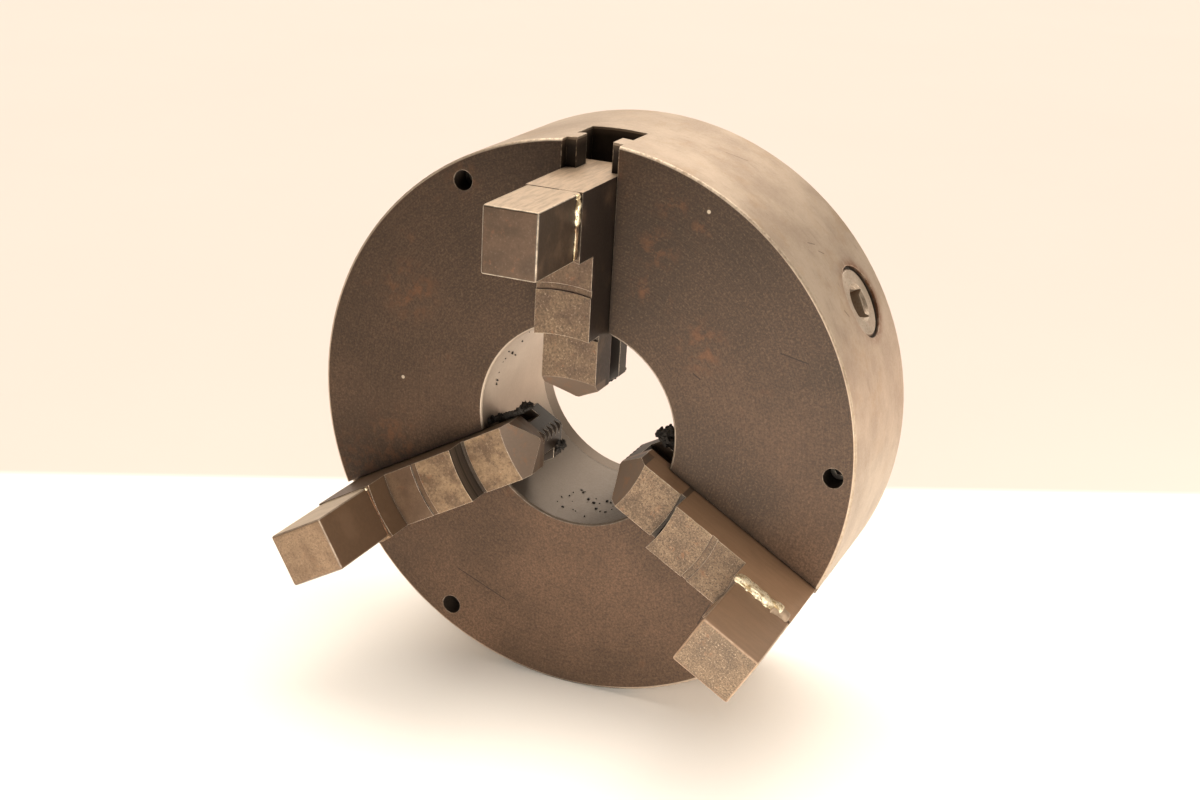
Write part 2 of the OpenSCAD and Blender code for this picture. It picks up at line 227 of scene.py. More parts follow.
RISER_LIGHT, JAW_SHADE = (0.070, 0.054, 0.041), (0.018, 0.013, 0.010)
GROOVE_DIRT, METAL_RUST = (0.045, 0.034, 0.026), (0.20, 0.10, 0.055)
BURNT, OIL_BLACK, SWARF_GLINT = (0.14, 0.085, 0.04), (0.006, 0.005, 0.004), (0.28, 0.22, 0.17)
# The first colour here is the dark of scratches, joints and cracks, and also painted shade, with dirt, in
# corners and hollows.
GRIME_AND_SHADE, WORN = (0.014, 0.010, 0.008), (0.80, 0.68, 0.54)

# Rust patches on the front face: angle round the axis in degrees, distance from it, size
FACE_RUST = [
    (70, 139, 7), (62, 135, 5), (69, 113, 9), (68, 89, 5), (86, 148, 8),
    (120, 146, 8), (201, 143, 17), (196, 118, 16), (150, 120, 14), (40, 90, 12),
]
# The face darkens between these two heights, by this share at the top. It does so in the photo, where part of
# it is the light falling off, so this is partly light painted on.
FACE_FADE_LOW, FACE_FADE_HIGH, FACE_FADE = -80, 95, 0.62
# Thickness of the rear cover where the bore passes through it
COVER_T = 17
# Chamfer on the body's front edges
CHAMFER = 1.0
# Stretches of the rim's front edge that are worn bright: angle, size
EDGE_POLISH = [(72, 60), (95, 26)]
# Dark patches beside the slots of jaws 1 and 3, partly oil and partly the photo's soft shadows painted on:
# angle, distance from the axis, size
FACE_OIL_AND_SHADOW = [(74, 80, 24), (78, 112, 22), (-9, 78, 26), (-13, 104, 20)]
# Two small pale dots of paint on the front face: angle, distance from the axis
FACE_DOTS = [(62.6, 146.3), (175.7, 107.9)]
# The two ends of each fine scratch on the front face: angle and distance from the axis
FACE_SCRATCHES = [
    ((-124, 123.5), (-108.5, 121)), ((30, 80), (33, 78)), ((-52, 128), (-46, 122)), ((25, 140), (29, 128)),
]
# Short scratches on the rim: angle and depth of each end
RIM_SCRATCHES = [((45.5, 36), (44.5, 42)), ((43, 41), (42, 45)), ((31, 30), (29.5, 33)), ((70, 60), (66, 66))]


def polar(angle, distance, depth=0.0):
    """A point at a depth behind the front face, in the chuck's millimetres."""
    a = math.radians(angle)
    return Vector((distance * math.cos(a), FRONT + depth, distance * math.sin(a)))


def spots(paint, where, centres, soft):
    """1 inside round patches, each a centre and a size."""
    found = 0.0
    for centre, size in centres:
        distance = paint.vector("DISTANCE", where, tuple(centre), out=1)
        inside = paint.band(distance, size * (1 - soft), size * (1 + soft), 1.0, 0.0)
        found = paint.math("MAXIMUM", found, inside)
    return found


def line(paint, where, start, end, half_width):
    """1 along a straight line between two points."""
    run = end - start
    offset = paint.vector("SUBTRACT", where, tuple(start))
    share = paint.vector("DOT_PRODUCT", offset, tuple(run / run.length_squared), out=1)
    share = paint.node("Clamp", {0: share}).outputs[0]
    nearest = paint.node("VectorMath", {0: tuple(run), 3: share}, operation="SCALE").outputs[0]
    away = paint.vector("DISTANCE", offset, nearest, out=1)
    return paint.band(away, half_width * 0.5, half_width, 1.0, 0.0)


def lines(paint, where, ends, half_width):
    """1 along each of a list of lines."""
    return paint.most(*[line(paint, where, start, end, half_width) for start, end in ends])


def iron_face(paint, where, radius):
    """Colour of the dark turned face, with the masks of its scratches and of its turned rings."""
    cloud = paint.noise(where, 0.014, 4, 0.6)
    grain = paint.noise(where, 0.8, 5, 0.8)
    base = paint.mix(paint.band(cloud, 0.32, 0.68), FACE_DARK, FACE_LIGHT)
    # Painted shade: the face darkens towards the top, partly patina and partly the light's fall-off painted
    # on.
    fade = paint.band(paint.split(where)[2], FACE_FADE_LOW, FACE_FADE_HIGH, 0.0, FACE_FADE)
    base = paint.mix(fade, base, FACE_PATINA_AND_SHADE)
    # Dark patches beside the slots of jaws 1 and 3: partly oil, partly painted soft shadows of the jaws.
    oil_and_shadow = spots(paint, where, [(polar(a, r), size) for a, r, size in FACE_OIL_AND_SHADOW], 0.9)
    base = paint.mix(paint.math("MULTIPLY", oil_and_shadow, 0.62), base, FACE_PATINA_AND_SHADE)
    base = paint.mix(paint.band(grain, 0.44, 0.60, 0.0, 0.60), base, GRAIN_DARK)
    base = paint.mix(paint.band(grain, 0.46, 0.34, 0.0, 0.22), base, GRAIN_LIGHT)
    rings = paint.noise(paint.join(radius, 0.0, 0.0), 1.1, 2)
    base = paint.mix(paint.band(rings, 0.35, 0.7, 0.0, 0.07), base, RING_LIGHT)
    patches = spots(paint, where, [(polar(a, r), size) for a, r, size in FACE_RUST], 0.8)
    broken = paint.band(paint.noise(where, 0.16, 6, 0.7), 0.44, 0.64)
    stray = paint.band(paint.noise(where, 0.045, 5, 0.7), 0.58, 0.74, 0.0, 0.6)
    rust = paint.product(paint.most(patches, stray), broken, 0.55)
    base = paint.mix(rust, base, FACE_RUST_COLOR)
    dots = spots(paint, where, [(polar(a, r), 1.0) for a, r in FACE_DOTS], 0.25)
    base = paint.mix(dots, base, DOT_PAINT)
    marks = lines(paint, where, [(polar(*start), polar(*end)) for start, end in FACE_SCRATCHES], 0.45)
    return paint.mix(paint.math("MULTIPLY", marks, 0.75), base, GRIME_AND_SHADE), marks, rings


def pinion_rust(paint, where):
    """Rusty halo on the rim round each pinion, thickest towards the rear."""
    halo = 0.0
    for k in JAWS:
        axis = Vector(joints[f"pinion_{k}_spin"]["axis"]).normalized()
        offset = paint.vector("SUBTRACT", where, (0, PINION_DEPTH, 0))
        away = paint.vector("LENGTH", paint.vector("CROSS_PRODUCT", offset, tuple(axis)), out=1)
        side = paint.band(paint.vector("DOT_PRODUCT", offset, tuple(axis), out=1), 20, 40)
        rear = paint.band(paint.split(offset)[1], -12, 14, 0.35, 1.0)
        ring = paint.product(side, rear, paint.band(away, PINION_R, PINION_R + 8, 1.0, 0.0))
        halo = paint.math("MAXIMUM", halo, ring)
    return halo


def rim_metal(paint, where):
    """Colour of the bare rim, streaked, scratched and rusty by the pinions; and its mottling."""
    mottle = paint.noise(where, 0.028, 6, 0.62)
    streaks = paint.noise(where, 0.22, 4, 0.6, stretch=(0.35, 1.6, 0.35))
    metal = paint.mix(paint.band(mottle, 0.3, 0.7), RIM_DARK, RIM_LIGHT)
    metal = paint.mix(paint.band(streaks, 0.52, 0.8, 0.0, 0.30), metal, STREAK)
    tan = paint.band(paint.noise(where, 0.05, 5, 0.7), 0.5, 0.7, 0.0, 0.35)
    metal = paint.mix(tan, metal, TAN)
    halo = paint.product(pinion_rust(paint, where), paint.band(paint.noise(where, 0.25, 5, 0.7), 0.26, 0.56))
    metal = paint.mix(halo, metal, HALO_RUST)
    ends = [(polar(a, BODY_R, d), polar(b, BODY_R, e)) for (a, d), (b, e) in RIM_SCRATCHES]
    scrape = paint.band(paint.noise(where, 0.16, 2, 0.4, stretch=(1.0, 7.0, 1.0)), 0.72, 0.76, 0.0, 0.5)
    marks = paint.most(lines(paint, where, ends, 0.5), scrape)
    return paint.mix(paint.math("MULTIPLY", marks, 0.6), metal, SCRAPE), mottle


def body_iron():
    """Body and rear cover: dark face and slots, bare metal on rim and bore, darker low in the bore, painted
    shade with dirt in corners.
    """
    paint = Paint("body_iron", Specular_IOR_Level=0.3)
    where = paint.chuck_mm()
    x, y, z = paint.split(where)
    radius = paint.vector("LENGTH", paint.join(x, z, 0.0), out=1)
    front = paint.product(paint.facing((0, -1, 0)), paint.band(y, FRONT + 0.4, FRONT + 0.8, 1.0, 0.0))
    rim = paint.band(radius, BODY_R - 1.6, BODY_R - 1.2)
    bore = paint.band(radius, BORE_R + 0.8, BORE_R + 1.2, 1.0, 0.0)
    rear = paint.product(paint.facing((0, 1, 0)), paint.band(y, REAR - 12, REAR - 8))

    face, marks, rings = iron_face(paint, where, radius)
    metal, mottle = rim_metal(paint, where)
    inside = paint.mix(paint.noise(where, 0.25, 5, 0.7), SLOT_DARK, SLOT_LIGHT)
    lip = paint.band(radius, BODY_R - 5.5, BODY_R - 1, 0.0, 0.8)
    inside = paint.mix(lip, inside, SLOT_LIP)
    color = paint.mix(front, inside, face)
    color = paint.mix(rim, color, metal)
    wall = paint.mix(paint.noise(where, 0.06, 5, 0.6), BORE_DARK, BORE_LIGHT)
    # The bore's wall darkens towards its bottom.
    low_dark = paint.band(z, -10, -45, 0.05, 0.88)
    wall = paint.mix(low_dark, wall, BORE_LOW_DARK)
    joint = REAR - COVER_T
    wall = paint.mix(paint.band(y, joint - 0.6, joint - 0.2, 0.0, 0.6), wall, COVER_BORE_BROWN)
    wall = paint.mix(paint.between(y, joint - 0.6, joint, 0.15), wall, GRIME_AND_SHADE)
    color = paint.mix(bore, color, wall)
    color = paint.mix(rear, color, paint.mix(mottle, REAR_DARK, REAR_LIGHT))

    open_air = paint.openness(7)
    # Painted shade, with dirt, darkens the corners and hollows.
    shade_and_dirt = paint.band(open_air, 0.35, 0.85, 0.85, 0.0)
    color = paint.mix(shade_and_dirt, color, GRIME_AND_SHADE)
    edge, rounded = paint.edges(1.0)
    outermost = paint.band(radius, BODY_R - CHAMFER - 0.3, BODY_R - CHAMFER + 0.1)
    foremost = paint.band(y, FRONT + CHAMFER + 0.3, FRONT + CHAMFER - 0.1)
    edge = paint.most(edge, paint.product(outermost, foremost))
    nibble = paint.band(paint.noise(where, 0.45, 4, 0.7), 0.36, 0.60, 0.15, 1.0)
    polished = spots(paint, where, [(polar(a, BODY_R), size) for a, size in EDGE_POLISH], 0.5)
    wear = paint.math("ADD", 0.35, paint.math("MULTIPLY", polished, 0.6))
    worn = paint.product(edge, paint.band(open_air, 0.45, 0.85), nibble, wear)
    color = paint.mix(worn, color, WORN)

    bare = paint.most(rim, bore)
    metallic = paint.most(paint.math("MULTIPLY", bare, 0.6), paint.math("MULTIPLY", worn, 0.9), 0.1)
    grain = paint.noise(where, 0.9, 4, 0.65)
    rough = paint.math("ADD", paint.band(bare, 0, 1, 0.56, 0.42), paint.band(grain, 0.3, 0.7, -0.05, 0.09))
    height = paint.math("ADD", paint.math("MULTIPLY", grain, 0.5), paint.math("MULTIPLY", rings, 0.15))
    height = paint.math("SUBTRACT", height, marks)
    return paint.finish(color, rough, paint.bump(height, 0.20, 0.25, rounded), metallic)


# What differs from jaw to jaw: the colours of flat steps, sides and outer end, how strong and how fine the
# specks are, how far the outer part of the middle step has darkened, and how strong the grinding bands and
# the worn edges are. Block 2 also has a colour for the side that faces up, which is painted light. The side
# and outer end colours are partly the steel's own tone and partly painted light and shade: lighter where a
# jaw faces the light, darker where it lies in shade.
JAW_LOOKS = {
    1: dict(dark=(0.085, 0.049, 0.027), light=(0.144, 0.092, 0.051), side=(0.015, 0.009, 0.006),
            end=(0.520, 0.385, 0.270), speck=0.75, fine=0.75, stain=0.35, bands=0.12, wear=0.65),
    2: dict(dark=(0.110, 0.066, 0.036), light=(0.239, 0.158, 0.090), side=(0.096, 0.058, 0.034),
            end=(0.560, 0.420, 0.300), speck=0.55, fine=0.65, stain=0.9, bands=0.0, wear=0.85),
    3: dict(dark=(0.112, 0.071, 0.040), light=(0.181, 0.119, 0.069), side=(0.275, 0.168, 0.100),
            end=(0.420, 0.310, 0.220), speck=0.95, fine=1.1, stain=0.0, bands=0.0, wear=0.9),
}
BLOCK_LOOKS = {
    1: dict(dark=(0.072, 0.042, 0.024), light=(0.103, 0.061, 0.036), side=(0.032, 0.019, 0.010),
            end=(0.515, 0.386, 0.271), speck=0.2, fine=0.7, stain=0.0, bands=0.08, wear=0.7),
    2: dict(dark=(0.184, 0.116, 0.067), light=(0.249, 0.165, 0.100), side=(0.094, 0.056, 0.033),
            end=(0.90, 0.760, 0.580), upper=(0.50, 0.40, 0.29),
            speck=0.5, fine=0.8, stain=0.0, bands=0.10, wear=0.3),
    3: dict(dark=(0.087, 0.056, 0.031), light=(0.135, 0.089, 0.051), side=(0.186, 0.113, 0.066),
            end=(0.420, 0.310, 0.220), speck=0.95, fine=1.1, stain=0.0, bands=0.0, wear=0.2),
}
# Places on a jaw, as distances behind its tip
RISER_GROOVE = (39.5, 42.6)
MID_GROOVE = (66.7, 70.4)
TOP_RISER = 89.1
NOSE_END = 14.9
# Radius of a jaw's concave risers
ARC_R = 80
# Heights of a jaw's two lower steps
LOW_STEP, MID_STEP = 13.2, 25.7
# Depths that a clot on a jaw keeps between: behind the slot's tongues, and in front of the slot's floor
TONGUE_BACK, SLOT_FLOOR = 19.8, 36.2


def step_color(paint, where, along, look):
    """Colour of flat steps, and their specks: cloudy, with ground bands, rust and lines by the grooves."""
    speck = paint.noise(where, look["fine"], 6, 0.8)
    cloud = paint.noise(where, 0.075, 4, 0.6)
    tan = paint.mix(paint.band(cloud, 0.36, 0.62), look["dark"], look["light"])
    bands = paint.noise(where, 0.28, 4, 0.6, stretch=(1, 0.06, 0.06))
    ground = tuple(1.5 * c for c in look["light"])
    tan = paint.mix(paint.band(bands, 0.42, 0.62, 0.0, look["bands"]), tan, ground)
    tan = paint.mix(paint.band(speck, 0.50, 0.60, 0.0, look["speck"]), tan, SPECK_DARK)
    tan = paint.mix(paint.band(speck, 0.44, 0.34, 0.0, look["speck"] * 0.6), tan, SPECK_LIGHT)
    rust = paint.band(paint.noise(where, 0.13, 6, 0.75), 0.58, 0.70, 0.0, 0.45)
    tan = paint.mix(rust, tan, RUST)
    patchy = paint.band(speck, 0.58, 0.40, 0.6, 1.0)
    outer = paint.product(paint.between(along, MID_GROOVE[0], TOP_RISER + 1, 0.3), patchy, look["stain"])
    tan = paint.mix(outer, tan, STEP_STAIN)
    places = (*MID_GROOVE, TOP_RISER - 0.3)
    marks = paint.most(*[paint.between(along, x - 0.25, x + 0.25, 0.3) for x in places])
    return paint.mix(paint.math("MULTIPLY", marks, 0.65), tan, RUST_DARK), speck


def jaw_steel(k, name, tip, look, crack=False):
    """A jaw or its block: mottled flat steps, smooth sides, a lighter outer end, bright worn edges, painted
    shade with dirt in corners.
    """
    paint = Paint(name)
    where = paint.jaw_mm(k)
    out, across, height = paint.split(where)
    bow = paint.math("DIVIDE", paint.math("MULTIPLY", across, across), 2.0 * ARC_R)
    along = paint.math("SUBTRACT", paint.math("ADD", out, bow), tip)
    flats = paint.product(paint.facing((0, -1, 0), 0.93, 0.985), paint.band(height, 9, 10))
    ends = paint.facing(jaw_axis(k))

    steps, speck = step_color(paint, where, along, look)
    brushed = paint.noise(where, 0.45, 4, 0.6, stretch=(0.15, 1, 1))
    cloud = paint.noise(where, 0.05, 4, 0.6)
    # The side colour is partly painted light and shade, by how each jaw's sides face the light.
    lighter = tuple(1.35 * c for c in look["side"])
    side = paint.mix(paint.band(brushed, 0.35, 0.65, 0.0, 0.35), look["side"], lighter)
    side = paint.mix(paint.band(cloud, 0.5, 0.7, 0.0, 0.35), side, SIDE_CLOUD)
    nose = paint.product(paint.band(along, NOSE_END, NOSE_END - 0.5), paint.band(height, -1, 0))
    side = paint.mix(nose, side, paint.mix(speck, NOSE_DARK, NOSE_LIGHT))
    stained = paint.product(nose, paint.band(paint.noise(where, 0.2, 5, 0.7), 0.52, 0.66), 0.35)
    side = paint.mix(stained, side, RUST)
    mid_riser = paint.between(height, LOW_STEP, MID_STEP - 0.4, 0.2)
    inward = paint.product(paint.facing(-jaw_axis(k), 0.9, 0.97), mid_riser)
    grooves = paint.band(paint.noise(paint.join(height, 0.0, 0.0), 0.45, 2), 0.50, 0.56)
    riser = paint.mix(grooves, RISER_LIGHT, JAW_SHADE)
    side = paint.mix(inward, side, riser)
    side = paint.mix(paint.band(height, -5.4, -6.2, 0.0, 0.85), side, JAW_SHADE)
    # Painted light: block 2's side that faces up is painted lighter, a sheen of light from above.
    if "upper" in look:
        upper = paint.facing(-jaw_place(k).to_3x3().col[1], 0.9, 0.97)
        side = paint.mix(paint.product(upper, paint.band(brushed, 0.3, 0.6, 0.75, 1.0)), side, look["upper"])
    hatch = paint.noise(where, 0.5, 4, 0.65, stretch=(1, 1, 0.15))
    # The outer end colour is partly painted light, lighter where the end faces the light.
    end = paint.mix(paint.band(hatch, 0.35, 0.7), look["end"], tuple(0.66 * c for c in look["end"]))
    color = paint.mix(flats, side, steps)
    color = paint.mix(ends, color, end)
    below = paint.band(height, LOW_STEP - 0.2, LOW_STEP - 0.8)
    groove = paint.product(paint.between(along, *RISER_GROOVE, 0.3), below)
    color = paint.mix(paint.math("MULTIPLY", groove, 0.75), color, GROOVE_DIRT)
    if crack:
        wander = paint.math("MULTIPLY", paint.noise(where, 0.35, 4, 0.7), 3.0)
        level = paint.math("SUBTRACT", paint.math("ADD", height, wander), STEP_H + 8.0)
        weld_side = paint.band(across, -BLOCK_HALF_W + 2, -BLOCK_HALF_W + 1)
        gap = paint.product(paint.between(level, -0.35, 0.35, 0.2), weld_side)
        color = paint.mix(gap, color, GRIME_AND_SHADE)

    open_air = paint.openness(5)
    # Painted shade, with dirt, darkens the jaw's corners and hollows.
    color = paint.mix(paint.band(open_air, 0.3, 0.8, 0.9, 0.0), color, GRIME_AND_SHADE)
    edge, rounded = paint.edges(0.55)
    axes = jaw_place(k).to_3x3().col
    slope = paint.most(*[paint.math("ABSOLUTE", paint.dot_normal(axis)) for axis in axes])
    bevelled = paint.product(paint.band(slope, 0.94, 0.80), paint.band(along, NOSE_END, NOSE_END + 1))
    nibble = paint.band(paint.noise(where, 0.22, 5, 0.7), 0.36, 0.62, 0.35, 1.0)
    worn = paint.product(paint.most(edge, bevelled), paint.band(open_air, 0.45, 0.8), nibble, look["wear"])
    color = paint.mix(worn, color, WORN)

    metallic = paint.most(paint.math("MULTIPLY", ends, 0.35), paint.math("MULTIPLY", worn, 0.9), 0.15)
    rough = paint.math("ADD", paint.band(flats, 0, 1, 0.42, 0.60), paint.band(speck, 0.3, 0.7, -0.05, 0.06))
    relief = paint.math("ADD", paint.product(speck, flats, 0.7), paint.math("MULTIPLY", brushed, 0.3))
    return paint.finish(color, rough, paint.bump(relief, 0.3, 0.25, rounded), metallic)


def worn_metal(name, dark, light, metallic, roughness, rust=0.0):
    """Plain machined metal with mottling, edge wear, and painted shade with dirt in its corners."""
    paint = Paint(name, Metallic=metallic)
    where = paint.chuck_mm()
    cloud = paint.noise(where, 0.10, 5, 0.6)
    fine = paint.noise(where, 0.8, 4, 0.65)
    color = paint.mix(paint.band(cloud, 0.3, 0.7), dark, light)
    color = paint.mix(paint.band(fine, 0.5, 0.75, 0.0, 0.45), color, tuple(c * 0.45 for c in dark))
    open_air = paint.openness(4)
    if rust:
        patches = paint.band(paint.noise(where, 0.2, 5, 0.7), 0.45, 0.62, 0.0, rust)
        deep = paint.product(paint.band(open_air, 0.8, 0.45), 0.7)
        color = paint.mix(paint.most(patches, deep), color, METAL_RUST)
    # Painted shade, with dirt, darkens the corners.
    color = paint.mix(paint.band(open_air, 0.2, 0.55, 0.85, 0.0), color, GRIME_AND_SHADE)
    edge, rounded = paint.edges(0.5)
    color = paint.mix(paint.math("MULTIPLY", edge, paint.band(open_air, 0.5, 0.85, 0.0, 0.6)), color, WORN)
    rough = paint.band(fine, 0.25, 0.75, roughness - 0.07, roughness + 0.10)
    return paint.finish(color, rough, paint.bump(fine, 0.25, 0.2, rounded))


def weld_metal(name, dark, light, roughness):
    """Weld or braze bead: cloudy, with burnt brown on the crests of its ripples."""
    paint = Paint(name, Metallic=0.6)
    where = paint.chuck_mm()
    ripple = paint.noise(where, 0.7, 4, 0.6)
    cloud = paint.noise(where, 0.22, 3, 0.6)
    color = paint.mix(paint.band(cloud, 0.38, 0.56), dark, light)
    color = paint.mix(paint.band(ripple, 0.56, 0.70, 0.0, 0.55), color, BURNT)
    rough = paint.band(ripple, 0.3, 0.7, roughness, roughness + 0.2)
    return paint.finish(color, rough, paint.bump(ripple, 0.35, 0.4))


def grease():
    """Black, half dried oil with fine swarf in it."""
    paint = Paint("grease", Metallic=0.0)
    where = paint.chuck_mm()
    crumbs = paint.noise(where, 1.3, 6, 0.8)
    glint = paint.band(paint.noise(where, 2.6, 3, 0.6), 0.68, 0.76)
    color = paint.mix(paint.band(crumbs, 0.4, 0.7), OIL_BLACK, GROOVE_DIRT)
    color = paint.mix(paint.math("MULTIPLY", glint, 0.6), color, SWARF_GLINT)
    return paint.finish(color, paint.band(crumbs, 0.3, 0.7, 0.35, 0.75), paint.bump(crumbs, 0.8, 0.8))


def paint_nodes():
    """Gives every CAD node its material."""
    iron = body_iron()
    scroll = worn_metal("scroll_steel", (0.20, 0.19, 0.18), (0.34, 0.33, 0.31), 0.8, 0.38)
    screw = worn_metal("screw_steel", (0.035, 0.030, 0.027), (0.075, 0.066, 0.058), 0.6, 0.42)
    bright = worn_metal("bright_steel", (0.38, 0.37, 0.35), (0.52, 0.51, 0.49), 0.9, 0.3)
    bronze = worn_metal("bronze", (0.34, 0.22, 0.09), (0.55, 0.38, 0.17), 0.9, 0.36)
    pinion = worn_metal("pinion_steel", (0.36, 0.295, 0.23), (0.52, 0.43, 0.34), 0.4, 0.42, rust=0.3)
    by_prefix = {
        "chuck_body": iron, "rear_cover": iron, "scroll_plate": scroll, "retaining_ring": scroll,
        "thrust_washer": bronze, "pinion_bush": bronze, "pinion_washer": bright, "cover_dowels": bright,
        "pinion_screws": screw, "front_screws": screw, "rear_screws": screw, "ring_screws": screw,
        "pinion_1": pinion, "pinion_2": pinion, "pinion_3": pinion,
    }
    for k in JAWS:
        tip = reach(f"jaw_{k}", k)[0]
        by_prefix[f"jaw_{k}"] = jaw_steel(k, f"jaw_steel_{k}", tip, JAW_LOOKS[k])
        by_prefix[f"jaw_extension_{k}"] = jaw_steel(k, f"block_steel_{k}", tip, BLOCK_LOOKS[k], crack=k == 1)
    for name, node in nodes.items():
        prefix = max((p for p in by_prefix if name.startswith(p)), key=len)
        node.data.materials.clear()
        node.data.materials.append(by_prefix[prefix])


def soften(name, width, segments=2):
    """Rounds a CAD node's sharp edges with modifiers."""
    node = nodes[name]
    node.modifiers.new("weld", "WELD").merge_threshold = 0.002 * MM
    flat = node.modifiers.new("planes", "DECIMATE")
    flat.decimate_type = "DISSOLVE"
    flat.angle_limit = math.radians(0.5)
    bevel = node.modifiers.new("edges", "BEVEL")
    bevel.width = width * MM
    bevel.segments = segments
    bevel.limit_method = "ANGLE"
    bevel.angle_limit = math.radians(35)
    bevel.harden_normals = False
    node.modifiers.new("normals", "WEIGHTED_NORMAL")


# ---- Small pieces ----

def finished(name, mesh, place, material, body):
    """Adds a piece made in millimetres, smooth shaded, riding on its body."""
    data = bpy.data.meshes.new(name)
    bmesh.ops.recalc_face_normals(mesh, faces=mesh.faces)
    mesh.transform(place)
    mesh.to_mesh(data)
    mesh.free()
    data.shade_smooth()
    data.materials.append(material)
    piece = bpy.data.objects.new(name, data)
    bpy.context.scene.collection.objects.link(piece)
    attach(piece, body)
    return piece


# Points round a bead, and how finely its lumps follow one another
BEAD_SIDES = 16
BEAD_GRAIN = 0.22


def bead(mesh, start, end, half_w, half_h, rough, seed, rings=60, taper=0.15):
    """A lumpy weld bead along a line.

    half_h is its half size up from the chuck's face, or outward where the line itself runs up; half_w is its
    half size square to that and to the line.
    """
    start, end = Vector(start), Vector(end)
    run = (end - start).normalized()
    along_h = Vector((0, 0, 1)) if abs(run.z) < 0.9 else Vector((1, 0, 0))
    along_w = run.cross(along_h).normalized()
    loops = []
    for i in range(rings + 1):
        t = i / rings
        ends = min(1.0, math.sin(math.pi * min(t, 1 - t) / (2 * taper)) if min(t, 1 - t) < taper else 1.0)
        centre = start.lerp(end, t)
        sway = noise.noise(centre * BEAD_GRAIN + Vector((seed, 0, 0)))
        loop = []
        for j in range(BEAD_SIDES):
            a = 2 * math.pi * j / BEAD_SIDES
            spot = centre + along_w * half_w * math.cos(a) + along_h * half_h * math.sin(a)
            swell = 1 + rough * noise.fractal(spot * BEAD_GRAIN + Vector((0, seed, 0)), 0.9, 2.0, 3)
            size = max(0.05, ends * (swell + 0.35 * rough * sway))
            shift = along_h * half_h * 0.4 * sway
            loop.append(mesh.verts.new(centre + shift + (spot - centre) * size))
        loops.append(loop)
    for first, second in zip(loops, loops[1:]):
        for j in range(BEAD_SIDES):
            n = (j + 1) % BEAD_SIDES
            mesh.faces.new((first[j], first[n], second[n], second[j]))
    mesh.faces.new(loops[0])
    mesh.faces.new(loops[-1])


def lump(mesh, centre, size, seed, detail=3, jagged=0.5):
    """One irregular clot; size is its half extent along each axis."""
    made = bmesh.ops.create_icosphere(mesh, subdivisions=detail, radius=1.0)["verts"]
    shift = Vector((seed * 7.3, seed * 3.1, seed * 1.7))
    for vert in made:
        swell = 1 + jagged * noise.fractal(vert.co * 1.6 + shift, 0.8, 2.1, 5)
        vert.co = Vector(centre) + Vector([c * s * swell for c, s in zip(vert.co, size)])


# How far a ground seam lies inside a block's outer end, and how far it reaches to each side
SEAM_INSET, SEAM_REACH = 0.75, 13.5


def end_seam(far, last, seed):
    """Call for the ground seam by a block's outer end, from one side of it to a place across."""
    start, end = (far - SEAM_INSET, -SEAM_REACH, STEP_H), (far - SEAM_INSET, last, STEP_H)
    return bead, (start, end, 0.7, 1.7, 0.12, seed), dict(taper=0.1)


